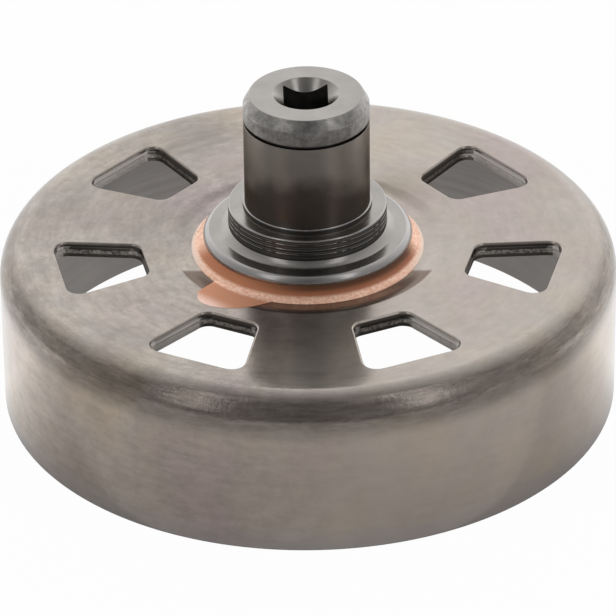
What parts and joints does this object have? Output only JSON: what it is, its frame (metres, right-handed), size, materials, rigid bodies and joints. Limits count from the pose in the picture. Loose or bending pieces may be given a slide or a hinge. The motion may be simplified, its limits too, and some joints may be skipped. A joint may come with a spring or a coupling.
{
  "type": "clutch drum",
  "caption": "Drawn steel clutch drum with pierced windows in its base and a brazed-in turned hub with a bearing journal and a square drive socket.",
  "frame": {"origin": "centre of the open rim, on the plane that the drum stands on", "axes": "+Z along the hub's axis, from the open rim to the hub's head; +Y through the middle of one window"},
  "size_m": [0.084, 0.084, 0.0455],
  "materials": {
    "drum_steel": "satin",
    "hub_steel": "turned and ground",
    "braze_copper": "satin copper"
  },
  "bodies": {
    "root": {"drum_cup": "drum_steel", "drive_hub": "hub_steel", "braze_ring": "braze_copper"}
  },
  "joints": []
}
